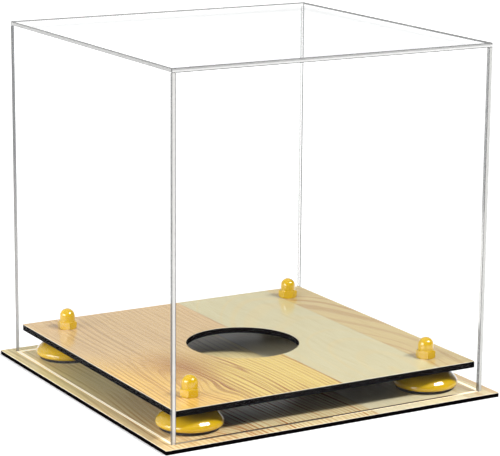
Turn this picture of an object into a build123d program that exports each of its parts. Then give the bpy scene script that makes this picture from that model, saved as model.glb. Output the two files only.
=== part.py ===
from build123d import *
import math
import os

# Display case for a bowling ball: a clear five-panel cover stands on a thin base
# board, round a raised platform with a round seat hole. Four domed risers carry the
# platform, each held by one screw from below and one acorn nut on top.
# Millimetres, +Z up. The origin is the centre of the base's underside, and the
# cover's front faces -Y.

# Clear cover
cover_side = 254.0
cover_height = 254.0
panel_thick = 3.0

# Base board: a black core with a wood-grain laminate on top
base_rim = 8.75
base_core_thick = 2.7
laminate_thick = 0.5

# Platform board: free round its edge, with a seat hole for the ball
platform_gap = 1.25
platform_core_thick = 4.2
seat_hole_dia = 84.0

# Risers: each stands on the base at one corner of the platform
riser_inset = 25.4
riser_height = 17.4
dome_dia = 47.6
dome_lip_round = 2.0
dome_side_round = 4.0
dome_side_sweep = 35.0
dome_crown_dia = 14.0
dome_wall = 2.4
dome_boss_dia = 14.0
dome_rim = 2.5
dome_shoulder = 2.0

# Rubber pads, pressed part way into the domes from below
pad_thick = 4.0
pad_seat_depth = 1.6
pad_edge_round = 0.5
pad_gap = 0.1

# Screws, each with a pan head up inside its pad and a cross recess
screw_dia = 6.0
screw_clearance = 0.25
screw_head_dia = 11.0
screw_head_thick = 2.6
screw_head_round = 0.6
screw_head_gap = 1.5
screw_tip_chamfer = 0.8
cross_width = 1.2
cross_length = 5.5
cross_depth = 1.4

# Acorn nuts
nut_across_flats = 12.7
nut_hex_height = 5.8
nut_chamfer = 1.1
nut_foot_chamfer = 1.0
nut_crown_dia = 11.4
nut_crown_straight = 3.7
nut_thread_depth = 11.0
nut_bore_spare = 0.8
nut_thread_gap = 0.05
nut_turns = {
    "front_left": 54.0,
    "front_right": 10.0,
    "rear_left": 18.0,
    "rear_right": 33.0,
}

# Levels and sizes that follow
base_side = cover_side + 2 * base_rim
base_top = base_core_thick + laminate_thick
inner_side = cover_side - 2 * panel_thick
platform_side = inner_side - 2 * platform_gap
platform_bottom = base_top + riser_height
platform_core_top = platform_bottom + platform_core_thick
platform_top = platform_core_top + laminate_thick
cover_top = base_top + cover_height
wall_top = cover_top - panel_thick
pad_radius = dome_dia / 2 - dome_rim - pad_gap
pad_top = base_top + pad_thick
dome_bottom = pad_top - pad_seat_depth
riser_offset = platform_side / 2 - riser_inset
screw_radius = screw_dia / 2
screw_tip = platform_top + nut_thread_depth
corners = {
    "front_left": (-riser_offset, -riser_offset),
    "front_right": (riser_offset, -riser_offset),
    "rear_left": (-riser_offset, riser_offset),
    "rear_right": (riser_offset, riser_offset),
}


def square_board(side, bottom, thick):
    with BuildPart() as board:
        with BuildSketch(Plane.XY.offset(bottom)):
            Rectangle(side, side)
        extrude(amount=thick)
    return board.part


def platform_board(bottom, thick):
    """Square board with the seat hole and one screw hole over each riser."""
    with BuildPart() as board:
        with BuildSketch(Plane.XY.offset(bottom)):
            Rectangle(platform_side, platform_side)
            Circle(seat_hole_dia / 2, mode=Mode.SUBTRACT)
            with Locations(*corners.values()):
                Circle(screw_radius + screw_clearance, mode=Mode.SUBTRACT)
        extrude(amount=thick)
    return board.part


def cover_panel(centre, size_x, size_y, bottom, height):
    with BuildPart() as panel:
        with BuildSketch(Plane.XY.offset(bottom)):
            with Locations(centre):
                Rectangle(size_x, size_y)
        extrude(amount=height)
    return panel.part


# The dome's hollow is part of a sphere, a wall's thickness inside one that would run
# from the widest ring up to the edge of the dome's flat top
dome_radius = dome_dia / 2
crown_radius = dome_crown_dia / 2
boss_radius = dome_boss_dia / 2
lip_top = dome_bottom + dome_lip_round
crown_rise = platform_bottom - lip_top
sphere_drop = (dome_radius**2 - crown_radius**2 - crown_rise**2) / (2 * crown_rise)
sphere_centre = lip_top - sphere_drop
hollow_radius = math.hypot(dome_radius, sphere_drop) - dome_wall
hollow_mouth = pad_radius - dome_shoulder


def in_hollow(radius):
    """Point of the hollow's roof, at a distance from the axis."""
    return (radius, sphere_centre + math.sqrt(hollow_radius**2 - radius**2))


def riser_dome():
    """Moulded dome: a hollow shell, a boss round the screw, and a seat for the pad.

    Outside, one arc rounds the lip, one the side, and one runs on to the flat top.
    """
    round_start = (dome_radius - dome_lip_round, dome_bottom)
    crown_end = (crown_radius, platform_bottom)
    hollow_start = in_hollow(boss_radius)
    hollow_middle = in_hollow((boss_radius + hollow_mouth) / 2)
    hollow_end = in_hollow(hollow_mouth)
    with BuildPart() as dome:
        with BuildSketch(Plane.XZ):
            with BuildLine():
                Polyline(crown_end, (0, platform_bottom), (0, dome_bottom), round_start)
                lip = JernArc(round_start, (1, 0), dome_lip_round, 90)
                side = JernArc(lip @ 1, lip % 1, dome_side_round, dome_side_sweep)
                TangentArc(side @ 1, crown_end, tangent=side % 1)
            make_face()
        revolve(axis=Axis.Z)
        with BuildSketch(Plane.XZ):
            with BuildLine():
                Polyline(hollow_end, (hollow_mouth, pad_top), (boss_radius, pad_top), hollow_start)
                ThreePointArc(hollow_start, hollow_middle, hollow_end)
            make_face()
        revolve(axis=Axis.Z, mode=Mode.SUBTRACT)
        with BuildSketch(Plane.XY.offset(dome_bottom)):
            Circle(pad_radius + pad_gap)
        extrude(amount=pad_seat_depth, mode=Mode.SUBTRACT)
        Hole(screw_radius + screw_clearance)
    return dome.part


def riser_pad():
    """Rubber disc under a dome, with a hole that clears the screw's head."""
    with BuildPart() as pad:
        with BuildSketch(Plane.XY.offset(base_top)):
            Circle(pad_radius)
            Circle(screw_head_dia / 2 + screw_head_gap, mode=Mode.SUBTRACT)
        extrude(amount=pad_thick)
        foot = pad.faces().sort_by(Axis.Z)[0]
        fillet(foot.edges().sort_by(SortBy.LENGTH)[-1], pad_edge_round)
    return pad.part


def riser_screw():
    """Pan-head screw up through the dome and the platform into the acorn nut."""
    head_bottom = pad_top - screw_head_thick
    with BuildPart() as screw:
        with BuildSketch(Plane.XY.offset(head_bottom)):
            Circle(screw_head_dia / 2)
        extrude(amount=screw_head_thick)
        fillet(screw.edges().sort_by(Axis.Z)[0], screw_head_round)
        with BuildSketch(Plane.XY.offset(pad_top)):
            Circle(screw_radius)
        extrude(amount=screw_tip - pad_top)
        chamfer(screw.edges().sort_by(Axis.Z)[-1], screw_tip_chamfer)
        with BuildSketch(Plane.XY.offset(head_bottom)):
            Rectangle(cross_length, cross_width)
            Rectangle(cross_width, cross_length)
        extrude(amount=cross_depth, mode=Mode.SUBTRACT)
    return screw.part


def acorn_nut():
    """Hexagon nut with chamfered corners, closed by a straight-sided, round crown."""
    hex_top = platform_top + nut_hex_height
    crown_base = hex_top + nut_crown_straight
    nut_radius = nut_crown_dia / 2
    corner_radius = nut_across_flats / math.sqrt(3)
    chamfer_start = corner_radius - nut_chamfer
    chamfer_drop = (nut_across_flats - chamfer_start) * math.tan(math.radians(30))
    foot_radius = corner_radius - nut_foot_chamfer
    foot_rise = nut_across_flats - foot_radius
    with BuildPart() as nut:
        with BuildSketch(Plane.XY.offset(platform_top)):
            RegularPolygon(corner_radius, 6)
        extrude(amount=nut_hex_height)
        with BuildSketch(Plane.XZ):
            with BuildLine():
                Polyline(
                    (0, hex_top),
                    (0, platform_top),
                    (foot_radius, platform_top),
                    (nut_across_flats, platform_top + foot_rise),
                    (nut_across_flats, hex_top - chamfer_drop),
                    (chamfer_start, hex_top),
                    close=True,
                )
            make_face()
        revolve(axis=Axis.Z, mode=Mode.INTERSECT)
        with BuildSketch(Plane.XZ):
            with BuildLine():
                base = Polyline((0, hex_top), (nut_radius, hex_top), (nut_radius, crown_base))
                tip = JernArc(base @ 1, (0, 1), nut_radius, 90)
                Line(tip @ 1, base @ 0)
            make_face()
        revolve(axis=Axis.Z)
        with BuildSketch(Plane.XY.offset(platform_top)):
            Circle(screw_radius + nut_thread_gap)
        extrude(amount=nut_thread_depth + nut_bore_spare, mode=Mode.SUBTRACT)
    return nut.part


# Boards
pieces = {
    "base_core": square_board(base_side, 0, base_core_thick),
    "base_laminate": square_board(base_side, base_core_thick, laminate_thick),
    "platform_core": platform_board(platform_bottom, platform_core_thick),
    "platform_laminate": platform_board(platform_core_top, laminate_thick),
}

# Risers, one set at each corner of the platform, each nut turned as it was tightened
riser_set = {
    "riser_dome": riser_dome(),
    "riser_pad": riser_pad(),
    "riser_screw": riser_screw(),
    "acorn_nut": acorn_nut(),
}
for corner, (x, y) in corners.items():
    for kind, piece in riser_set.items():
        turn = nut_turns[corner] if kind == "acorn_nut" else 0
        pieces[f"{kind}_{corner}"] = piece.moved(Location((x, y, 0), (0, 0, turn)))

# Cover: the side panels run the full depth, the front and rear panels stand between
# them, and the top panel lies over all four
wall_offset = (cover_side - panel_thick) / 2
wall_height = wall_top - base_top
for side, sign in (("left", -1), ("right", 1)):
    pieces[f"cover_{side}"] = cover_panel(
        (sign * wall_offset, 0), panel_thick, cover_side, base_top, wall_height
    )
for side, sign in (("front", -1), ("rear", 1)):
    pieces[f"cover_{side}"] = cover_panel(
        (0, sign * wall_offset), inner_side, panel_thick, base_top, wall_height
    )
pieces["cover_top"] = cover_panel((0, 0), cover_side, cover_side, wall_top, panel_thick)

os.makedirs("parts", exist_ok=True)
for name, part in pieces.items():
    part.label = name
    export_step(part, f"parts/{name}.step")
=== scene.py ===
# %% [markdown]
# # A clear display case round a raised wood-grain platform
#
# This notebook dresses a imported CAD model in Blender. The case has three bodies: a thin
# base board, a platform on four domed risers, and a clear cover that lifts off. The CAD
# model fixes every size and place. Here each piece gets its softened edges and its finish,
# and the camera, the floor and the studio lights are set up as for a catalogue picture.
#
# All lengths are in metres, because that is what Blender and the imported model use. Small
# sizes are easier to read in millimetres, so they are written as `3 * MM`.

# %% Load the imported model
import math
import bmesh
import bpy
from mathutils import Matrix, Quaternion, Vector


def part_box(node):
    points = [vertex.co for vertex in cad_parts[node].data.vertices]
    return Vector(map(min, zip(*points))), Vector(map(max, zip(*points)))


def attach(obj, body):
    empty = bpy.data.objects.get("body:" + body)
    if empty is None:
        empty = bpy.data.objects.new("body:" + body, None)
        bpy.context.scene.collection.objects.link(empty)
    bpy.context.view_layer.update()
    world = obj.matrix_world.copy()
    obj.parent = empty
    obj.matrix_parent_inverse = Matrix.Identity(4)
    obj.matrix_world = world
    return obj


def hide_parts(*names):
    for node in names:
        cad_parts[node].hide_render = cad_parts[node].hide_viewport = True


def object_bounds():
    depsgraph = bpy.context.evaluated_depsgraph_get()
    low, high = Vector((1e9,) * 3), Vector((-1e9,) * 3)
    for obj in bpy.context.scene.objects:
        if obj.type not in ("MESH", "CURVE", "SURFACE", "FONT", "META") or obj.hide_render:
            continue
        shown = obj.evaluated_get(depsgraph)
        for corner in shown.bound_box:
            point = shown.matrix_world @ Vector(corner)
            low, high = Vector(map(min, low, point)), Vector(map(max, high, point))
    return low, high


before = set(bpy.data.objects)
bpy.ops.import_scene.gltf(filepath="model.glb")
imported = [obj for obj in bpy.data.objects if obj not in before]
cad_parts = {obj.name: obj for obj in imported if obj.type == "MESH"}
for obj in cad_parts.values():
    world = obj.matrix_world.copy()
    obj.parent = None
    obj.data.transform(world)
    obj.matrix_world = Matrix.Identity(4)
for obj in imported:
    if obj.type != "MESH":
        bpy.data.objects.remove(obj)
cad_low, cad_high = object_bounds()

MM = 0.001
CORNERS = ("front_left", "front_right", "rear_left", "rear_right")
cad_size = cad_high - cad_low
print("CAD box in mm:", [round(side / MM, 1) for side in cad_size])

# %% [markdown]
# ## Reading the sizes from the frame
#
# Nothing is measured twice. The boards, panels and risers already lie where they belong, so
# their boxes tell this script all it needs: how wide the cover is, how high the platform
# stands, and where the axis of each riser is.

# %% Sizes that the finishes and pieces use
base_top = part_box("base_laminate")[1].z
platform_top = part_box("platform_laminate")[1].z
cover_low, cover_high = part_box("cover_top")
cover_half = cover_high.x
panel_thick = cover_high.z - cover_low.z


def axis_of(node):
    """Where the upright axis of a round node stands, as (x, y)."""
    low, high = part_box(node)
    return (low.x + high.x) / 2, (low.y + high.y) / 2


riser_axes = {corner: axis_of(f"riser_dome_{corner}") for corner in CORNERS}
for corner, (x, y) in riser_axes.items():
    print(f"{corner} riser stands at {x / MM:.1f}, {y / MM:.1f} mm")

# %% [markdown]
# ## The camera
#
# A catalogue picture of a box is taken from far away with a long lens, so that its upright
# edges stay nearly parallel. The camera stands to the left of the front, a little above the
# case, and is turned a trace about its own axis. A Track To constraint could aim it, but it
# would leave out that turn, so its three axes are worked out here. Its distance and its lens
# follow from where the case's corners lie in the picture.

# %% Camera at the picture's angle
PICTURE_WIDTH = 500
FOCAL_PIXELS = 2177.9
SENSOR_WIDTH = 36.0
CAMERA_AZIMUTH = math.radians(-30.064)
CAMERA_ELEVATION = math.radians(13.032)
CAMERA_ROLL = math.radians(0.454)
CAMERA_DISTANCE = 1596.3 * MM
CAMERA_AIM = Vector((3.56, -3.42, 112.6)) * MM


def direction(azimuth, elevation):
    """Unit vector from the case towards a place; azimuth 0 is in front, and left is negative."""
    flat = math.cos(elevation)
    return Vector((math.sin(azimuth) * flat, -math.cos(azimuth) * flat, math.sin(elevation)))


def make_camera():
    back = direction(CAMERA_AZIMUTH, CAMERA_ELEVATION)
    level_right = Vector((0, 0, 1)).cross(back).normalized()
    level_up = back.cross(level_right)
    right = level_right * math.cos(CAMERA_ROLL) + level_up * math.sin(CAMERA_ROLL)
    up = back.cross(right)
    data = bpy.data.cameras.new("picture_camera")
    data.sensor_width = SENSOR_WIDTH
    data.lens = FOCAL_PIXELS * SENSOR_WIDTH / PICTURE_WIDTH
    camera = bpy.data.objects.new("picture_camera", data)
    turn = Matrix((right, up, back)).transposed().to_4x4()
    camera.matrix_world = Matrix.Translation(CAMERA_AIM + back * CAMERA_DISTANCE) @ turn
    bpy.context.scene.collection.objects.link(camera)
    bpy.context.scene.camera = camera
    return camera


camera = make_camera()
print(f"lens {camera.data.lens:.1f} mm, {CAMERA_DISTANCE:.2f} m away")

# %% [markdown]
# ## Floor and lights
#
# The case stands on a plain pale sheet, so the floor is one large square, a hair under the
# base so that the two don't fight for the same height.
#
# The highlights on the glossy domes give the studio away: a broad soft box hangs low on the
# left, and a narrow strip hangs high, to the right of the camera. Point or sun lamps would
# draw round dots, so both are area lights, whose mirror image has the shape of a soft box.

# %% Floor
FLOOR_HALF = 9.0
FLOOR_GAP = 0.05 * MM


def new_object(name, mesh):
    made = bpy.data.objects.new(name, mesh)
    bpy.context.scene.collection.objects.link(made)
    return made


def make_floor():
    mesh = bpy.data.meshes.new("floor")
    z = cad_low.z - FLOOR_GAP
    around = ((-1, -1), (1, -1), (1, 1), (-1, 1))
    corners = [(side_x * FLOOR_HALF, side_y * FLOOR_HALF, z) for side_x, side_y in around]
    mesh.from_pydata(corners, [], [(0, 1, 2, 3)])
    floor = new_object("floor", mesh)
    return floor


floor = make_floor()
print(f"floor {2 * FLOOR_HALF:.0f} m across")

# %% Soft boxes
SOFT_BOXES = {
    "left_broad_box": {
        "azimuth": -86,
        "elevation": 18,
        "tilt": 0,
        "size": (2.1, 0.9),
        "power": 49,
    },
    "right_strip_box": {
        "azimuth": 35,
        "elevation": 48,
        "tilt": -21,
        "size": (1.05, 0.28),
        "power": 48,
    },
}
BOX_AWAY = 2.2


def make_soft_box(name, azimuth, elevation, tilt, size, power):
    """A long light that faces the case's foot; tilt raises the end of larger azimuth."""
    data = bpy.data.lights.new(name, "AREA")
    data.shape = "RECTANGLE"
    data.size, data.size_y = size
    data.energy = power
    light = bpy.data.objects.new(name, data)
    towards = direction(math.radians(azimuth), math.radians(elevation))
    light.location = towards * BOX_AWAY
    light.rotation_mode = "QUATERNION"
    facing = towards.to_track_quat("Z", "Y")
    light.rotation_quaternion = facing @ Quaternion((0, 0, 1), math.radians(tilt))
    bpy.context.scene.collection.objects.link(light)
    return light


for name, facts in SOFT_BOXES.items():
    light = make_soft_box(name, **facts)
    print(f"{name}: {light.data.size:.2f} x {light.data.size_y:.2f} m, {light.data.energy:.0f} W")

# %% [markdown]
# ## A small language for materials
#
# A procedural material is a graph of nodes, and most of them only add or multiply. `Wire`
# wraps one output of such a graph and turns Python's own operators into Math nodes, so that
# the pattern of wood rings reads like its formula. Every other kind of node comes from one
# method, `Graph.node`, which sets the node's own settings first and its inputs after that.
# The same graph serves a material and the room's light.

# %% One node of any kind
def write_inputs(tree, node, inputs):
    for key, value in inputs.items():
        if isinstance(value, Wire):
            tree.links.new(value.socket, node.inputs[key])
        else:
            node.inputs[key].default_value = value


def add_node(tree, kind, settings, inputs, output=0):
    """One node of any kind: its settings first, then the values or wires of its inputs."""
    node = tree.nodes.new(kind)
    for key, value in settings.items():
        setattr(node, key, value)
    write_inputs(tree, node, inputs)
    return Wire(tree, node.outputs[output])


# %% Wires
class Wire:
    """An output socket. Python's operators on it add Math nodes to its tree."""

    def __init__(self, tree, socket):
        self.tree, self.socket = tree, socket

    def chain(self, operation, *values):
        """A Math node in this wire's tree; each value is a number or a wire."""
        settings = {"operation": operation}
        return add_node(self.tree, "ShaderNodeMath", settings, dict(enumerate(values)))

    def maths(self, operation, *others):
        """A Math node whose first value is this wire."""
        return self.chain(operation, self, *others)

    def __add__(self, other):
        return self.maths("ADD", other)

    def __radd__(self, other):
        return self.maths("ADD", other)

    def __sub__(self, other):
        return self.maths("SUBTRACT", other)

    def __rsub__(self, other):
        return self.chain("SUBTRACT", other, self)

    def __mul__(self, other):
        return self.maths("MULTIPLY", other)

    def __rmul__(self, other):
        return self.maths("MULTIPLY", other)

    def __truediv__(self, other):
        return self.maths("DIVIDE", other)

    def __pow__(self, other):
        return self.maths("POWER", other)

    def __lt__(self, other):
        return self.maths("LESS_THAN", other)

    def __gt__(self, other):
        return self.maths("GREATER_THAN", other)


# %% Graphs and finishes
class Graph:
    """A shader tree, with short ways to write the parts that this case's finishes share."""

    def __init__(self, tree):
        self.tree = tree
        tree.nodes.clear()

    def node(self, kind, settings=None, inputs=None, output=0):
        return add_node(self.tree, "ShaderNode" + kind, settings or {}, inputs or {}, output)

    def place(self):
        """Object coordinates in millimetres, as one vector wire."""
        coordinates = self.node("TexCoord", output="Object")
        return self.node("VectorMath", {"operation": "SCALE"}, {0: coordinates, "Scale": 1 / MM})

    def axes(self, vector):
        return [self.node("SeparateXYZ", {}, {0: vector}, output=i) for i in range(3)]

    def stretched(self, vector, scale, shift=(0, 0, 0)):
        return self.node("Mapping", {}, {"Vector": vector, "Location": shift, "Scale": scale})

    def noise(self, vector, detail=2.0, rough=0.5, scale=1.0):
        inputs = {"Vector": vector, "Scale": scale, "Detail": detail, "Roughness": rough}
        return self.node("TexNoise", {}, inputs)

    def step(self, value, low, high):
        """0 below low, 1 above high, and a smooth rise between them."""
        inputs = {"Value": value, "From Min": low, "From Max": high}
        return self.node("MapRange", {"interpolation_type": "SMOOTHSTEP"}, inputs)

    def mixed(self, share, first, second, blend="MIX"):
        """Two colours blended. Sockets 6 and 7 and output 2 are the Mix node's colour ones."""
        settings = {"data_type": "RGBA", "blend_type": blend}
        return self.node("Mix", settings, {0: share, 6: first, 7: second}, output=2)

    def bump(self, height, strength, distance):
        inputs = {"Height": height, "Strength": strength, "Distance": distance}
        return self.node("Bump", {}, inputs)

    def show(self, shader, kind="Material"):
        output = self.tree.nodes.new("ShaderNodeOutput" + kind)
        self.tree.links.new(shader.socket, output.inputs["Surface"])


class Finish(Graph):
    """The graph of a new material."""

    def __init__(self, name):
        self.material = bpy.data.materials.new(name)
        self.material.use_nodes = True
        super().__init__(self.material.node_tree)

    def of(self, shader):
        """The material, once it shows this shader."""
        self.show(shader)
        return self.material

    def principled(self, inputs):
        return self.node("BsdfPrincipled", {}, inputs)


print("helpers for node trees:", ", ".join(made.__name__ for made in (Wire, Graph, Finish)))

# %% [markdown]
# ## The room's light
#
# A clear cover has next to no colour of its own: it shows what stands round it. The room is
# dim in front, which leaves the gap under the platform nearly black. A white sweep of paper
# behind the case and some light overhead fill the rest. A picture of a studio could stand
# for all this, but three tones blended by direction are enough and need no file.

# %% Dim in front, a white sweep behind, and some light overhead
def grey(value):
    return (value, value, value, 1)


ROOM_DIM = (0.03, 0.03, 0.033, 1)
SWEEP_WHITE = grey(0.60)
ROOM_CEILING = grey(0.55)
BEHIND = (0.1, 0.6)
OVERHEAD = (0.55, 0.95)


def light_the_room(world):
    world.use_nodes = True
    g = Graph(world.node_tree)
    _, y, z = g.axes(g.node("TexCoord", output="Generated"))
    room = g.mixed(g.step(z, *OVERHEAD), ROOM_DIM, ROOM_CEILING)
    colour = g.mixed(g.step(y, *BEHIND), room, SWEEP_WHITE)
    g.show(g.node("Background", {}, {"Color": colour}), "World")


scene = bpy.context.scene
scene.view_settings.view_transform = "Standard"
scene.world = bpy.data.worlds.new("studio_room")
light_the_room(scene.world)
print("room lit by", len(scene.world.node_tree.nodes), "nodes")

# %% [markdown]
# The floor is matte paper, light enough that the lights bring it to white round the case.
# Behind the case it glows by itself, as a sweep of paper does that has its own lamps.
# Towards the camera, outside the picture, it falls off to a grey, which keeps the undersides
# of the risers dark. Those changes run along the floor, and their places are in millimetres.

# %% Floor paper
PAPER_PALE, PAPER_WHITE, PAPER_SHADED = grey(0.89), grey(0.92), grey(0.30)
GLOW_NEAR, GLOW_FAR = grey(0.16), grey(0.85)
SHADED_TO_LIT = (-800, -260)
SHADE_SLANT = 0.55
NEAR_TO_FAR = (100, 1700)


def floor_paper():
    f = Finish("floor_paper")
    place = f.place()
    cloud = f.noise(place, detail=3, scale=0.004)
    x, y, _ = f.axes(place)
    lit = f.mixed(cloud, PAPER_PALE, PAPER_WHITE)
    inputs = {
        "Base Color": f.mixed(f.step(y + x * SHADE_SLANT, *SHADED_TO_LIT), PAPER_SHADED, lit),
        "Roughness": 0.9,
        "Specular IOR Level": 0.1,
        "Emission Color": f.mixed(f.step(y, *NEAR_TO_FAR), GLOW_NEAR, GLOW_FAR),
        "Emission Strength": 1.0,
    }
    return f.of(f.principled(inputs))


floor.data.materials.append(floor_paper())
print("floor finish:", floor.data.materials[0].name)

# %% [markdown]
# ## Softened edges
#
# A CAD edge is perfectly sharp, and a perfectly sharp edge never catches the light. Each
# board, panel and nut is therefore copied from its CAD node, its loose triangles are merged,
# and flat areas are joined into single faces. On the boards and nuts, a narrow Bevel modifier
# then rounds the edges. The panels' edges are cut further down, together with their finishes.
# The copy stands for the node, which stays behind it for the physics.
#
# An imported mesh brings its own shading normals. They belong to the loose triangles, and on
# merged faces they would bend the light of a flat board by many degrees, so they go first.

# %% A softened copy of a CAD node
FLAT_ANGLE = math.radians(1.0)
EDGE_ANGLE = math.radians(28.0)
MERGE_DISTANCE = 0.002 * MM


def merged(node):
    """A copy of a CAD node's mesh, and a bmesh of it in whole flat faces."""
    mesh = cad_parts[node].data.copy()
    mesh.materials.clear()
    mesh.attributes.remove(mesh.attributes["custom_normal"])
    work = bmesh.new()
    work.from_mesh(mesh)
    bmesh.ops.remove_doubles(work, verts=work.verts, dist=MERGE_DISTANCE)
    bmesh.ops.dissolve_limit(work, angle_limit=FLAT_ANGLE, verts=work.verts, edges=work.edges)
    bmesh.ops.recalc_face_normals(work, faces=work.faces)
    return mesh, work


def softened(node, edge, rings=2):
    """A merged copy of a CAD node with its sharp edges rounded."""
    mesh, work = merged(node)
    for face in work.faces:
        face.smooth = True
    work.to_mesh(mesh)
    work.free()
    piece = new_object(f"{node}_shown", mesh)
    bevel = piece.modifiers.new("softened", "BEVEL")
    bevel.width = edge
    bevel.segments = rings
    bevel.limit_method = "ANGLE"
    bevel.angle_limit = EDGE_ANGLE
    bevel.harden_normals = True
    return piece


def stands_for(piece, node, body):
    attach(piece, body)
    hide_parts(node)
    print(f"{piece.name} stands for {node}: {len(piece.data.polygons)} faces")


# %% [markdown]
# ## Wood-grain laminate
#
# The printed laminate shows three boards glued side by side. A photograph of wood could be
# stretched over it, but a formula stays sharp at any size. Wood rings are circles round the
# trunk's axis, so the pattern is the distance from a line that runs under the board and
# leans a little. Where that line comes close to the surface, the rings cross it as long
# arches, and further away they run straight. The lines are drawn with a soft side and a
# sharp side, as spring and summer wood are.
#
# All lengths in the wood's patterns are in millimetres. `axis_x` and `depth` say where the
# trunk's axis runs, `lean` how fast it sinks towards the rear, `spacing` how far apart the
# rings are, and `width` what share of that a line takes up.

# %% Ring pattern
LINE_END = 0.92
RINGS = {
    "arches": {"axis_x": -84, "depth": 17, "lean": 0.16, "spacing": 3.8},
    "straight": {"axis_x": -170, "depth": 10, "lean": 0.02, "spacing": 5.2},
    "faint": {"axis_x": 66, "depth": 40, "lean": 0.35, "spacing": 12.0, "width": 0.2},
}


def ring_lines(f, x, y, wander, axis_x, depth, lean, spacing, width=0.34):
    """Distance from a leaning trunk axis, cut into rings: 0 on the ground, up to 1 on a line.

    The rings lie unevenly, and each has its own strength, because no two years grow alike.
    """
    across = x - axis_x + wander
    below = depth + y * lean
    reach = ((across * across + below * below) ** 0.5 + wander * 0.5) / spacing
    one_way = {"noise_dimensions": "1D"}
    uneven = f.node("TexNoise", one_way, {"W": reach * 0.45, "Detail": 1.0})
    reach = reach + uneven * 0.9
    year = f.node("TexWhiteNoise", one_way, {"W": reach.maths("FLOOR")})
    ring = reach.maths("FRACT")
    rise = f.step(ring, LINE_END - width * 1.3, LINE_END - width * 0.7)
    fall = 1 - f.step(ring, LINE_END, 1.0)
    return rise * fall * (0.55 + year * 0.45)


def spot(f, x, y, centre, radii):
    """1 at a centre in plan, falling to 0 at the ellipse round it."""
    off_x, off_y = (x - centre[0]) / radii[0], (y - centre[1]) / radii[1]
    return 1 - f.step((off_x * off_x + off_y * off_y) ** 0.5, 0, 1)


print("ring patterns:", ", ".join(RINGS))

# %% [markdown]
# The broad strip changes along its length: golden arches at the front, straight grain at
# the rear in a paler tone, a brown patch on its left, a short streak near the seat hole, and
# a swirl where the lines part round the nearest corner. The rear's paler tone is partly the
# print's and partly a painted reflection of the pale backdrop. The brown patch is painted
# shade and painted reflection, as a ball standing in the seat lays on the board. Its pattern
# is a list of such places, because a noise alone never puts an arch where the eye expects
# one. The two other strips are nearly plain, with a few faint rings.

# %% The broad strip
SWIRL = {"centre": (-84, -96), "radii": (26, 34)}
# Painted shade and reflection: a brown patch left of the seat, as a ball in the seat lays there.
PAINTED_SHADE_AND_REFLECTION = {"centre": (-70, -36), "radii": (40, 62)}
STREAK = {"centre": (-35, -60), "radii": (2.6, 19)}
FRONT_TO_REAR = (-55, 40)
LEFT_TO_MIDDLE = (-86, -40)
CLEAR_LINES = (-90, -62)
BREAKS = (0.36, 0.62)


def broad_strip(f, place, x, y, slow, wander, tones):
    """Colour of the first strip, and its lines by themselves."""
    lines = ring_lines(f, x, y, wander, **RINGS["arches"])
    straight = ring_lines(f, x, y, wander * 0.6, **RINGS["straight"])
    front = 1 - f.step(y + slow * 90, *FRONT_TO_REAR)
    middle = f.step(x + slow * 60, *LEFT_TO_MIDDLE)
    patches = f.noise(f.stretched(place, (0.06, 0.012, 1), (31, 8, 0)), detail=2)
    broken = 0.45 + f.step(patches, *BREAKS) * 0.55
    clear = 0.55 + f.step(x, *CLEAR_LINES) * 0.45
    strength = (lines * front * clear + straight * (1 - front) * 0.38) * broken
    # The rear tone carries in part a painted reflection of the pale backdrop.
    ground = f.mixed(front, tones["rear"], f.mixed(middle, tones["front"], tones["middle"]))
    # The brown patch is painted shade and painted reflection.
    ground = f.mixed(spot(f, x, y, **PAINTED_SHADE_AND_REFLECTION) * 0.65, ground, tones["front_line"])
    grain = f.mixed(front, tones["rear_line"], tones["front_line"])
    strip = f.mixed(strength, ground, grain)
    return f.mixed(spot(f, x, y, **STREAK) * 0.75, strip, tones["front_line"]), lines


# %% [markdown]
# The laminate's side shows how it is made: a pale print on top of a dark core sheet. The
# same material draws both. The normal tells it which faces are sides, and the height tells
# it where the print ends.

# %% Cut side
CUT_EDGE = (0.90, 0.82, 0.66, 1)
CUT_CORE = (0.02, 0.013, 0.01, 1)
PRINT_DEPTH = 0.28 * MM
SIDE_FACING = 0.6


def with_cut_side(f, wood, z, top):
    """The wood where a face looks up or down, and the sheet's cut layers on its sides."""
    facing = f.axes(f.node("NewGeometry", output="Normal"))[2]
    cut = f.mixed(z < (top - PRINT_DEPTH) / MM, CUT_EDGE, CUT_CORE)
    return f.mixed(facing.maths("ABSOLUTE") < SIDE_FACING, wood, cut)


# %% [markdown]
# The finish lays the three strips side by side, with a thin dark line at each joint. A slow
# and a quick noise make the rings wander, as they do in a tree, and fine fibres and pores
# run over all three strips. The platform and the base share the print, as two boards cut
# from one sheet would. `shift` slides it to another place for the base, which is also less
# glossy. The base's tones are paler than the platform's as painted light: they brighten the
# base, which less of the studio's light reaches.

# %% Laminate
# The rear tone is partly the print's and partly a painted reflection of the pale backdrop.
PLATFORM_TONES = {
    "front": (0.80, 0.51, 0.13, 1),
    "middle": (0.74, 0.55, 0.14, 1),
    "rear": (0.64, 0.44, 0.21, 1),
    "cream": (0.59, 0.53, 0.31, 1),
    "beige": (0.60, 0.46, 0.20, 1),
    "front_line": (0.30, 0.085, 0.005, 1),
    "rear_line": (0.22, 0.11, 0.04, 1),
}
# The base's paler tones are painted light, lifted to make up for the light that it misses.
BASE_TONES = {
    "front": (0.83, 0.66, 0.36, 1),
    "middle": (0.85, 0.73, 0.42, 1),
    "rear": (0.94, 0.79, 0.41, 1),
    "cream": (0.82, 0.74, 0.50, 1),
    "beige": (0.71, 0.60, 0.36, 1),
    "front_line": (0.48, 0.15, 0.02, 1),
    "rear_line": (0.30, 0.16, 0.045, 1),
}
JOINT_TONE = (0.34, 0.22, 0.09, 1)
FIBRE_TONE = (0.62, 0.48, 0.30, 1)
JOINT_HALF = (0.1, 0.5)


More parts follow.
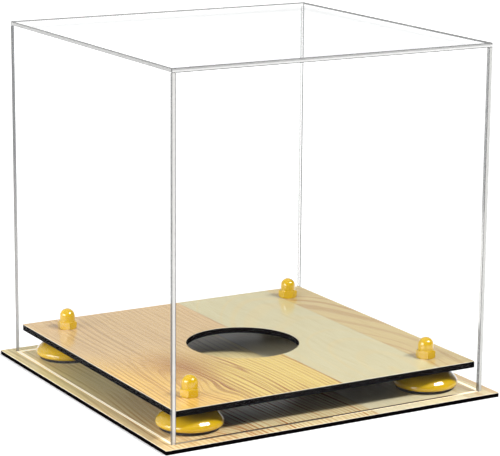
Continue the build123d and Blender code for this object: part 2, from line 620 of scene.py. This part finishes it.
def wood_laminate(name, tones, joints, shift, top, shine, mirror):
    """Three printed strips along Y, which meet at the joints, and the board's cut side."""
    f = Finish(name)
    place = f.stretched(f.place(), (1, 1, 1), shift)
    x, y, z = f.axes(place)
    slow = f.noise(f.stretched(place, (0.012, 0.005, 1)), detail=1) - 0.5
    quick = f.noise(f.stretched(place, (0.06, 0.010, 1), (9, 4, 0)), detail=3) - 0.5
    wander = slow * 24 + quick * 2.6 + spot(f, x, y, **SWIRL) * 6
    first, lines = broad_strip(f, place, x, y, slow, wander, tones)
    faint = ring_lines(f, x, y, wander * 1.4, **RINGS["faint"])
    second = f.mixed(faint * 0.14, tones["cream"], tones["front"])
    third = f.mixed(faint * 0.40, tones["beige"], tones["front_line"])
    wood = f.mixed(x > joints[1], f.mixed(x > joints[0], first, second), third)
    near = [1 - f.step((x - joint).maths("ABSOLUTE"), *JOINT_HALF) for joint in joints]
    wood = f.mixed((near[0] + near[1]) * 0.25, wood, JOINT_TONE)
    fibre = f.noise(f.stretched(place, (1.2, 0.03, 1)), detail=4, rough=0.65)
    fleck = f.noise(f.stretched(place, (2.2, 0.14, 1), (3, 7, 0)), detail=2)
    pores = f.step(fleck, 0.60, 0.74)
    wood = f.mixed(f.step(fibre, 0.35, 0.75) * 0.30, wood, FIBRE_TONE, "MULTIPLY")
    wood = f.mixed(pores * 0.30, wood, tones["rear_line"], "MULTIPLY")
    height = fibre * 0.4 + lines * 0.4 - pores * 0.6
    inputs = {
        "Base Color": with_cut_side(f, wood, z, top),
        "Roughness": pores * 0.12 + fibre * 0.05 + shine,
        "Specular IOR Level": mirror,
        "Normal": f.bump(height, 0.05, 0.05 * MM),
    }
    return f.of(f.principled(inputs))


platform_wood = wood_laminate(
    "platform_wood",
    PLATFORM_TONES,
    joints=(10.5, 91),
    shift=(0, 0, 0),
    top=platform_top,
    shine=0.12,
    mirror=0.5,
)
base_wood = wood_laminate(
    "base_wood",
    BASE_TONES,
    joints=(35, 112),
    shift=(3, 6, 0),
    top=base_top,
    shine=0.20,
    mirror=0.2,
)
print("nodes in the platform's wood:", len(platform_wood.node_tree.nodes))

# %% [markdown]
# ## Black board
#
# Under the laminate lies a black board. Its sawn sides show as the dark bands round the base
# and the platform. A plain black would look like a hole in the picture, so the finish has
# fine saw marks and a faint cloud, but no mirror of its own: the studio is so pale that the
# least reflection would turn the band grey.

# %% Black board
def black_board():
    f = Finish("black_board")
    place = f.place()
    saw = f.noise(f.stretched(place, (0.9, 0.9, 9)), detail=3)
    cloud = f.noise(place, detail=2, scale=0.05)
    dark, pale = (0.0008, 0.0006, 0.0008, 1), (0.003, 0.0022, 0.0026, 1)
    inputs = {
        "Base Color": f.mixed(saw * 0.4 + cloud * 0.6, dark, pale),
        "Roughness": 0.45 + saw * 0.2,
        "Specular IOR Level": 0.0,
        "Normal": f.bump(saw, 0.05, 0.04 * MM),
    }
    return f.of(f.principled(inputs))


board = black_board()
print("finish under the laminate:", board.name)

# %% Boards with softened edges
CORE_EDGE = 0.12 * MM
SKIN_EDGE = 0.10 * MM
BOARDS = (
    ("base_core", "base", CORE_EDGE, board, "board_core"),
    ("base_laminate", "base", SKIN_EDGE, base_wood, "wood_laminate"),
    ("platform_core", "riser_stand", CORE_EDGE, board, "board_core"),
    ("platform_laminate", "riser_stand", SKIN_EDGE, platform_wood, "wood_laminate"),
)
for node, body, edge, finish, slot in BOARDS:
    piece = softened(node, edge)
    piece.data.materials.append(finish)
    stands_for(piece, node, body)

# %% [markdown]
# ## Gold-coloured plastic
#
# The domes and the nuts are moulded in one glossy mustard-gold plastic. It is not a metal,
# so Metallic stays at 0, and the depth comes from a thin clear coat over the colour. The
# polish is a low roughness with a very shallow unevenness that bends the highlights, as on
# any moulding that has cooled. Under the black board, the colour darkens towards brown as a
# painted shade, standing in for the shade that the board casts on the domes. That painted
# shade follows the height, in millimetres, and stops below the nuts.

# %% Gold plastic
GOLD_DEEP, GOLD_PALE = (0.57, 0.355, 0.004, 1), (0.64, 0.400, 0.007, 1)
# The tone below is painted shade: the brown the domes take where the black board shades them.
PAINTED_SHADE_TONE = (0.10, 0.035, 0.004, 1)
SHADE_RISE = (10.5, 18.5)
SHADE_END = platform_top / MM - 1.0
SHADE_STOP = (SHADE_END, SHADE_END + 0.2)


def gold_plastic():
    f = Finish("gold_moulding")
    place = f.place()
    z = f.axes(place)[2]
    flow = f.noise(place, detail=3, scale=0.09)
    skin = f.noise(place, detail=2, scale=0.45)
    # Painted shade: the domes darken towards that tone as they rise under the black board.
    painted_shade = f.step(z, *SHADE_RISE) - f.step(z, *SHADE_STOP)
    tone = f.mixed(painted_shade * 0.85, f.mixed(flow, GOLD_DEEP, GOLD_PALE), PAINTED_SHADE_TONE)
    inputs = {
        "Base Color": tone,
        "Roughness": 0.08 + skin * 0.04,
        "Specular IOR Level": 0.25,
        "Coat Weight": 1.0,
        "Coat Roughness": 0.03,
        "Normal": f.bump(skin, 0.03, 0.3 * MM),
    }
    return f.of(f.principled(inputs))


gold = gold_plastic()
print("nodes in the gold plastic:", len(gold.node_tree.nodes))

# %% [markdown]
# ## Turned domes
#
# A dome is a turned shape: one outline, swept round an upright axis. `dome_outline` walks
# round its section from the crown outwards: along one arc to the side, round a tighter one
# to the widest ring, round the lip, into the seat of the pad, and over the hollow beside
# the boss. The CAD triangles would do from afar, but a fresh outline gives the long smooth
# highlight that a polished dome has.
#
# Geometry Nodes sweep the outline round a circle, set one copy on each corner of a square
# and join the four into one mesh. The circle is next to nothing across, so that the outline
# alone sets the dome's size. A Screw modifier could turn it too, but the node tree also
# repeats the dome and keeps its sizes as named inputs.

# %% The dome's outline
LIP_ROUND = 2.0 * MM
SIDE_ROUND = 4.0 * MM
SIDE_SWEEP = math.radians(35)
CROWN_RADIUS = 7.0 * MM
BOSS_RADIUS = 7.0 * MM
DOME_WALL = 2.4 * MM
PAD_RIM = 0.1 * MM
PAD_SHOULDER = 2.0 * MM
SCREW_HOLE = 3.25 * MM
LIP_STEPS, SIDE_STEPS, CROWN_STEPS = 14, 14, 36


def arc(centre, radius, start, end, steps):
    """Points along an arc in the (radius, height) plane; angles run from straight outwards."""
    angles = [start + (end - start) * step / steps for step in range(steps + 1)]
    return [centre + Vector((math.cos(angle), math.sin(angle))) * radius for angle in angles]


def crown_arc(side_top, outwards, crown_edge):
    """The arc from the flat top's edge that runs smoothly into the side at side_top."""
    chord = crown_edge - side_top
    radius = -chord.length_squared / (2 * chord.dot(outwards))
    centre = side_top - outwards * radius
    start = math.asin((crown_edge.y - centre.y) / radius)
    return arc(centre, radius, start, SIDE_SWEEP, CROWN_STEPS)


def hollow_arc(radius, widest, rise, mouth):
    """The hollow's roof: part of a sphere, a wall's thickness inside the dome's own."""
    drop = (radius**2 - CROWN_RADIUS**2 - rise**2) / (2 * rise)
    inner = math.hypot(radius, drop) - DOME_WALL
    ends = math.acos(mouth / inner), math.acos(BOSS_RADIUS / inner)
    return arc(Vector((0, widest - drop)), inner, *ends, CROWN_STEPS)


def dome_outline(low, high, pad_radius, pad_top):
    """The dome's section as (radius, height) points, clockwise from the top of its bore."""
    radius = (high.x - low.x) / 2
    widest = low.z + LIP_ROUND
    mouth = pad_radius - PAD_SHOULDER
    lip_centre = Vector((radius - LIP_ROUND, widest))
    side_centre = Vector((radius - SIDE_ROUND, widest))
    outwards = Vector((math.cos(SIDE_SWEEP), math.sin(SIDE_SWEEP)))
    side_top = side_centre + outwards * SIDE_ROUND
    return [
        Vector((SCREW_HOLE, high.z)),
        *crown_arc(side_top, outwards, Vector((CROWN_RADIUS, high.z))),
        *arc(side_centre, SIDE_ROUND, SIDE_SWEEP, 0, SIDE_STEPS)[1:],
        *arc(lip_centre, LIP_ROUND, 0, -math.pi / 2, LIP_STEPS)[1:],
        Vector((pad_radius + PAD_RIM, low.z)),
        Vector((pad_radius + PAD_RIM, pad_top)),
        Vector((mouth, pad_top)),
        *hollow_arc(radius, widest, high.z - widest, mouth),
        Vector((BOSS_RADIUS, pad_top)),
        Vector((SCREW_HOLE, pad_top)),
    ]


dome_low, dome_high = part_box("riser_dome_front_left")
pad_low, pad_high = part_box("riser_pad_front_left")
outline = dome_outline(dome_low, dome_high, (pad_high.x - pad_low.x) / 2, pad_high.z)
print(f"outline of {len(outline)} points, {(dome_high.x - dome_low.x) / MM:.1f} mm across")

# %% A node tree that turns an outline and repeats it
STEPS_ROUND = 128
TURNED_INPUTS = {
    "Turns": ("NodeSocketInt", STEPS_ROUND),
    "Spacing": ("NodeSocketFloat", 0.2),
    "Crease": ("NodeSocketFloat", math.radians(35)),
    "Finish": ("NodeSocketMaterial", None),
}
AXIS_RADIUS = 1e-6


def turned_tree():
    """Sweeps the outline, given as radius and minus height, round one axis at each corner."""
    tree = bpy.data.node_groups.new("turned_at_corners", "GeometryNodeTree")
    for way in ("INPUT", "OUTPUT"):
        tree.interface.new_socket("Geometry", in_out=way, socket_type="NodeSocketGeometry")
    for name, (kind, value) in TURNED_INPUTS.items():
        socket = tree.interface.new_socket(name, in_out="INPUT", socket_type=kind)
        if value is not None:
            socket.default_value = value
    given = tree.nodes.new("NodeGroupInput")

    def wire(name):
        return Wire(tree, given.outputs[name])

    def step(kind, inputs, settings=None):
        return add_node(tree, "GeometryNode" + kind, settings or {}, inputs)

    profile = step("MeshToCurve", {"Mesh": wire("Geometry")})
    axis = step("CurvePrimitiveCircle", {"Resolution": wire("Turns"), "Radius": AXIS_RADIUS})
    upright = step("SetCurveNormal", {"Curve": axis}, {"mode": "Z_UP"})
    swept = step("CurveToMesh", {"Curve": upright, "Profile Curve": profile})
    smooth = step("SetShadeSmooth", {"Geometry": swept}, {"domain": "FACE"})
    sharp = step("InputMeshEdgeAngle", {}) > wire("Crease")
    creasing = {"Geometry": smooth, "Selection": sharp, "Shade Smooth": False}
    creased = step("SetShadeSmooth", creasing, {"domain": "EDGE"})
    sides = {"Size X": wire("Spacing"), "Size Y": wire("Spacing"), "Vertices X": 2, "Vertices Y": 2}
    copies = step("InstanceOnPoints", {"Points": step("MeshGrid", sides), "Instance": creased})
    joined = step("RealizeInstances", {"Geometry": copies})
    dressed = step("SetMaterial", {"Geometry": joined, "Material": wire("Finish")})
    tree.links.new(dressed.socket, tree.nodes.new("NodeGroupOutput").inputs[0])
    return tree


def from_tree(name, mesh, tree, values):
    """Run a node tree on a mesh and return the result as a plain object."""
    source = new_object(name, mesh)
    modifier = source.modifiers.new(name, "NODES")
    modifier.node_group = tree
    for socket in tree.interface.items_tree:
        if socket.name in values:
            modifier[socket.identifier] = values[socket.name]
    evaluated = source.evaluated_get(bpy.context.evaluated_depsgraph_get())
    result = bpy.data.meshes.new_from_object(evaluated)
    source.modifiers.remove(modifier)
    source.data = result
    return source


# %% Four domes
outline_mesh = bpy.data.meshes.new("dome_outline")
links = [(i, (i + 1) % len(outline)) for i in range(len(outline))]
outline_mesh.from_pydata([(point.x, -point.y, 0) for point in outline], links, [])
riser_spacing = riser_axes["front_right"][0] - riser_axes["front_left"][0]
turned_sizes = {"Turns": STEPS_ROUND, "Spacing": riser_spacing, "Finish": gold}
domes = from_tree("riser_domes", outline_mesh, turned_tree(), turned_sizes)
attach(domes, "riser_stand")
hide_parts(*[f"riser_dome_{corner}" for corner in CORNERS])
print(f"four domes, {len(domes.data.polygons)} faces, {riser_spacing / MM:.1f} mm apart")

# %% [markdown]
# ## Acorn nuts
#
# An acorn nut is a hexagon with a closed round crown. The CAD solids already have that form,
# and each is turned as it was tightened, so they are only softened. The rounding is wider
# than on the boards, because a moulded plastic nut has no sharp corners.

# %% Four nuts
NUT_EDGE = 0.35 * MM
for corner in CORNERS:
    nut = softened(f"acorn_nut_{corner}", NUT_EDGE, rings=3)
    nut.data.materials.append(gold)
    stands_for(nut, f"acorn_nut_{corner}", "riser_stand")

# %% [markdown]
# ## Rubber pads and steel screws
#
# The pads are dull black rubber with a fine grain. The screws hide inside the risers, and
# are only seen when the stand is turned over: zinc-plated steel with fine turning marks.
# Their CAD shapes are right as they are, so these nodes stay and only get a finish.

# %% Rubber and zinc
def black_rubber():
    f = Finish("black_rubber_pad")
    grain = f.noise(f.place(), detail=4, scale=2.2)
    inputs = {
        "Base Color": f.mixed(grain, (0.012, 0.011, 0.010, 1), (0.032, 0.030, 0.028, 1)),
        "Roughness": 0.75 + grain * 0.2,
        "Normal": f.bump(grain, 0.4, 0.05 * MM),
    }
    return f.of(f.principled(inputs))


def zinc_plate():
    f = Finish("zinc_plated_steel")
    turned = f.noise(f.stretched(f.place(), (0.3, 0.3, 9)), detail=3)
    inputs = {
        "Base Color": f.mixed(turned, (0.52, 0.53, 0.54, 1), (0.68, 0.69, 0.70, 1)),
        "Metallic": 1.0,
        "Roughness": 0.25 + turned * 0.2,
        "Normal": f.bump(turned, 0.15, 0.03 * MM),
    }
    return f.of(f.principled(inputs))


for kind, finish in (("riser_pad", black_rubber()), ("riser_screw", zinc_plate())):
    for corner in CORNERS:
        kept_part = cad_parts[f"{kind}_{corner}"]
        kept_part.data.materials.clear()
        kept_part.data.materials.append(finish)
    print(f"{finish.name} on four nodes, {kind}_*")

# %% [markdown]
# ## The clear cover
#
# Clear sheet is hard to see. What the eye reads is its rim: a sawn edge scatters light and
# looks milky, and the narrow arrises beside it show grey lines, which are painted as a grey
# tone in place of the refraction that makes them. Real refraction would need many light
# paths and would darken what stands inside, so the broad faces are a mix of a see-through
# and a mirror shader. The mirror's share grows with the angle, and the studio lights still
# reach the inside.

# %% Clear faces
FACE_MIRROR = (0.95, 0.96, 0.97, 1)
FACE_SQUARE_ON = 0.004
FACE_GRAZING_POWER = 10
CLEAR_TINT = (0.997, 0.999, 0.999, 1)


def clear_face():
    f = Finish("clear_sheet_face")
    through = f.node("BsdfTransparent", {}, {"Color": CLEAR_TINT})
    mirror = f.node("BsdfGlossy", {}, {"Color": FACE_MIRROR, "Roughness": 0.02})
    grazing = f.node("LayerWeight", {}, {"Blend": 0.5}, output="Facing")
    share = FACE_SQUARE_ON + grazing**FACE_GRAZING_POWER * (1 - FACE_SQUARE_ON)
    return f.of(f.node("MixShader", {}, {0: share, 1: through, 2: mirror}))


# %% [markdown]
# Each rim face has its own finish, by what it touches and by how it takes the light: near
# edges look milky, the front joint is dark at its foot and its top and paler between, and a
# far edge, seen through the sheet, shrinks to a grey line. The sawn rims are all one plastic,
# so their different tones are painted light and shade: each face's grey is set by how bright
# it looks in this studio. The front joint's dark bands are painted reflections, and the far
# edge's darkening towards its top is painted shade. `solid` says how much of a rim scatters,
# and the rest stays clear. Some rims change with the height in millimetres, and a pattern
# says where they take their marked tone, a painted shade or, on the front joint, a painted
# reflection.

# %% Rim finishes
TOP_LEVEL = cover_high.z / MM
# Painted shade by height on the top and far edges; the front joint's bands are painted reflections.
RIM_PATTERNS = {
    "upper_half": lambda f, z: f.step(z, TOP_LEVEL - 1.9, TOP_LEVEL - 1.3),
    "top_line": lambda f, z: f.step(z, TOP_LEVEL - 1.3, TOP_LEVEL - 1.0),
    "rising": lambda f, z: f.step(z, 40, 190),
    "bands": lambda f, z: 1 - f.step(z, 46, 60) + f.step(z, 112, 150) * 0.95,
}
WHITE = grey(1)
WELD_TONE = (0.70, 0.72, 0.72, 1)
# Painted light and shade: the rims are one plastic, and each tone is set by how its face takes the
# light. The seams' near-black is the joints' own.
RIMS = {
    "left_edge": {"tone": (0.25, 0.25, 0.245, 1), "solid": 0.92},
    "near_edge": {"tone": (0.55, 0.54, 0.52, 1), "solid": 0.92},
    "right_edge": {"tone": (0.40, 0.40, 0.385, 1), "solid": 0.92},
    "rear_joint": {"tone": grey(0.30), "solid": 0.45},
    # A painted grey band on the clear wall, for the corner joint that shows through it.
    "near_strip": {"tone": (0.11, 0.11, 0.108, 1), "solid": 0.60},
    "arris": {"tone": grey(0.09), "solid": 0.90},
    "seam": {"tone": grey(0.02), "solid": 1.0},
    "welded_edge": {"tone": WELD_TONE, "solid": 0.12},
    "front_top_edge": {
        "tone": (0.60, 0.60, 0.59, 1),
        "solid": 0.92,
        "pattern": "upper_half",
        "marked_tone": (0.31, 0.31, 0.305, 1),
        "marked_solid": 0.92,
    },
    "right_top_edge": {
        "tone": WELD_TONE,
        "solid": 0.10,
        "pattern": "upper_half",
        "marked_tone": grey(0.06),
        "marked_solid": 0.95,
    },
    "rear_top_edge": {
        "tone": WELD_TONE,
        "solid": 0.10,
        "pattern": "top_line",
        "marked_tone": grey(0.10),
        "marked_solid": 0.80,
    },
    "far_edge": {
        "tone": grey(0.26),
        "solid": 0.80,
        "pattern": "rising",
        "marked_tone": (0.10, 0.105, 0.11, 1),
        "marked_solid": 0.90,
    },
    "front_joint": {
        "tone": (0.36, 0.36, 0.355, 1),
        "solid": 0.60,
        "pattern": "bands",
        "marked_tone": (0.03, 0.032, 0.035, 1),
        "marked_solid": 0.76,
    },
}


def rim_finish(name, tone, solid, pattern=None, marked_tone=None, marked_solid=None):
    """Scattering plastic over clear plastic; a pattern of the height says where it is marked."""
    f = Finish(name)
    place = f.place()
    saw = f.noise(place, detail=3, scale=1.2)
    share = solid
    if pattern:
        mark = RIM_PATTERNS[pattern](f, f.axes(place)[2])
        tone = f.mixed(mark, tone, marked_tone)
        share = mark * (marked_solid - solid) + solid
    inputs = {
        "Base Color": f.mixed(saw * 0.30, tone, WHITE, "OVERLAY"),
        "Roughness": 0.3,
        "Normal": f.bump(saw, 0.15, 0.05 * MM),
    }
    through = f.node("BsdfTransparent", {}, {"Color": WHITE})
    return f.of(f.node("MixShader", {}, {0: share, 1: through, 2: f.principled(inputs)}))


rim_finishes = [rim_finish(name, **facts) for name, facts in RIMS.items()]
print(len(rim_finishes), "rim finishes")

# %% [markdown]
# The walls' feet are seen from above, through the sheet, as pale bands on the base. Clear
# sheet gathers light and lets it out at its edges; the feet carry a faint painted glow, an
# emission that stands in for that light. A painted shadow draws a dark line along the inside
# of the front foot, where the wall's shadow lies, and a hint of the same on the left one.
# Both fade out where the light reaches in. The lines' places are in millimetres.

# %% Feet of the walls
FOOT_PALE, FOOT_WARM = (1.0, 0.86, 0.62, 1), (0.9, 0.8, 0.6, 1)
# The dark tone is a painted shadow, and the glow below is painted light.
FOOT_PAINTED_SHADOW = (0.05, 0.028, 0.018, 1)
FOOT_PAINTED_GLOW = 0.42
INNER_FACE = (cover_half - panel_thick) / MM
FRONT_LINE = 2.2
FRONT_LINE_MIDDLE = 3
FRONT_LINE_FADE = (96, 112)
LEFT_LINE = 0.6
LEFT_LINE_FADE = (40, 110)
LEFT_LINE_STRENGTH = 0.8


def foot_finish():
    """The walls' feet: pale bands with a faint painted glow, and a painted shadow line inside two
    of them.
    """
    f = Finish("wall_foot")
    place = f.place()
    x, y, _ = f.axes(place)
    along = (x - FRONT_LINE_MIDDLE).maths("ABSOLUTE")
    at_front = (y > -(INNER_FACE + FRONT_LINE)) * (y < 0) * (1 - f.step(along, *FRONT_LINE_FADE))
    at_left = (x > -(INNER_FACE + LEFT_LINE)) * (x < 0) * (1 - f.step(y, *LEFT_LINE_FADE))
    saw = f.noise(place, detail=3, scale=0.8)
    pale = f.mixed(saw * 0.4, FOOT_PALE, FOOT_WARM)
    # Painted shadow: the dark lines inside the front and left feet.
    tone = f.mixed(at_front + at_left * LEFT_LINE_STRENGTH, pale, FOOT_PAINTED_SHADOW)
    inputs = {
        "Base Color": tone,
        "Roughness": 0.4,
        # Painted glow: the feet give off a share of their own tone.
        "Emission Color": f.mixed(FOOT_PAINTED_GLOW, grey(0), tone),
        "Emission Strength": 1.0,
    }
    return f.of(f.principled(inputs))


panel_finishes = [clear_face(), *rim_finishes, foot_finish()]
slot_of = {name: place for place, name in enumerate(["clear_face", *RIMS, "wall_foot"])}
print("finishes on each panel:", ", ".join(slot_of))

# %% [markdown]
# A small face gets its finish by the panel it belongs to, where it lies and where it looks.
# Two kinds of edges are cut back: the outer arrises of the cover, which carry its painted
# grey lines, and, much finer, the seams where two panels meet, which show as dark hairlines
# at the front. The foot of a wall stays sharp. Beside the nearest corner, a narrow strip of
# the left wall is marked off and painted as a grey band, standing in for the corner's joint
# as it shows through the sheet.

# %% Which finish a face has
NEAR = 0.5 * MM
STRIP = 2.0 * MM
RIM_OF = {
    ("cover_left", "-y"): "near_edge",
    ("cover_left", "+y"): "far_edge",
    ("cover_right", "-y"): "right_edge",
    ("cover_top", "-x"): "left_edge",
    ("cover_top", "-y"): "front_top_edge",
    ("cover_top", "+x"): "right_top_edge",
    ("cover_top", "+y"): "rear_top_edge",
    ("cover_front", "+x"): "front_joint",
    ("cover_rear", "+x"): "rear_joint",
}
SQUARE_ON = 0.9
SLANTED = 0.4


def outer_sides(centre, normal):
    """How many outside faces of the cover this small face looks out of."""
    found = normal.z > SLANTED and centre.z > cover_high.z - NEAR
    for axis in range(2):
        for sign in (-1, 1):
            at_side = sign * centre[axis] > cover_half - NEAR
            found += sign * normal[axis] > SLANTED and at_side
    return found


def rim_name(node, centre, normal, thin_axis):
    """Which finish a face of a panel has, from its panel, its place and how it faces."""
    at_front = centre.y < NEAR - cover_half
    if abs(normal[thin_axis]) > SQUARE_ON:
        in_strip = node == "cover_left" and normal.x < 0 and centre.y < STRIP - cover_half
        return "near_strip" if in_strip else "clear_face"
    if max(abs(part) for part in normal) < SQUARE_ON:
        if outer_sides(centre, normal) > 1:
            return "arris"
        return "seam" if at_front else "clear_face"
    if normal.z < -SQUARE_ON:
        return "wall_foot"
    axis = max(range(3), key=lambda i: abs(normal[i]))
    looks = ("-" if normal[axis] < 0 else "+") + "xyz"[axis]
    return RIM_OF.get((node, looks), "welded_edge")


print(len(RIM_OF), "rims have a finish of their own, the others are welded edges")

# %% [markdown]
# Where two panels touch, their faces lie in one plane, and a renderer can't tell which of
# them comes first. Each wall is therefore a hair short at its top, foot and joints, which
# also lets the hidden edges show. The cuts are made on the mesh itself and not by a Bevel
# modifier, because the finish of each small face is chosen after them.

# %% Five panels
ARRIS = 0.55 * MM
SEAM = 0.20 * MM
FOOT_GAP = 0.04 * MM
WELD_GAP = 0.03 * MM
SHARP_ANGLE = math.radians(80)
PANELS = {"cover_left": 0, "cover_right": 0, "cover_front": 1, "cover_rear": 1, "cover_top": 2}


def is_outer(edge):
    """True for an edge on the outside corner lines of the whole cover."""
    middle = (edge.verts[0].co + edge.verts[1].co) / 2
    outside = (
        abs(middle.x) > cover_half - NEAR,
        abs(middle.y) > cover_half - NEAR,
        middle.z > cover_high.z - NEAR,
    )
    return sum(outside) > 1


def leave_gaps(work, is_wall, thin_axis, lowest):
    """Pull a wall's top and foot, and the ends of a front or rear wall, in by a hair."""
    for vertex in work.verts:
        if is_wall:
            vertex.co.z += FOOT_GAP if vertex.co.z < lowest + NEAR else -WELD_GAP
        if thin_axis == 1:
            vertex.co.x -= math.copysign(WELD_GAP, vertex.co.x)


def cut_edges(work, edges, width):
    bmesh.ops.bevel(work, geom=edges, offset=width, segments=1, affect="EDGES")


def clear_panel(node, thin_axis):
    """One sheet of the cover, cut back at its edges, with a finish on each small face."""
    mesh, work = merged(node)
    is_wall = node != "cover_top"
    lowest = min(vertex.co.z for vertex in work.verts)
    leave_gaps(work, is_wall, thin_axis, lowest)

    def is_foot(edge):
        return is_wall and max(vertex.co.z for vertex in edge.verts) < lowest + NEAR

    if node == "cover_left":
        whole = [*work.verts, *work.edges, *work.faces]
        cut_at = Vector((0, STRIP - cover_half, 0))
        bmesh.ops.bisect_plane(work, geom=whole, plane_co=cut_at, plane_no=(0, 1, 0))
    cut_edges(work, [edge for edge in work.edges if is_outer(edge) and not is_foot(edge)], ARRIS)
    sharp = [edge for edge in work.edges if edge.calc_face_angle(0) > SHARP_ANGLE]
    cut_edges(work, [edge for edge in sharp if not is_foot(edge)], SEAM)
    for face in work.faces:
        face.smooth = False
        name = rim_name(node, face.calc_center_median(), face.normal, thin_axis)
        face.material_index = slot_of[name]
    work.to_mesh(mesh)
    work.free()
    panel = new_object(f"{node}_shown", mesh)
    for finish in panel_finishes:
        panel.data.materials.append(finish)
    return panel


for node, thin_axis in PANELS.items():
    stands_for(clear_panel(node, thin_axis), node, "cover")
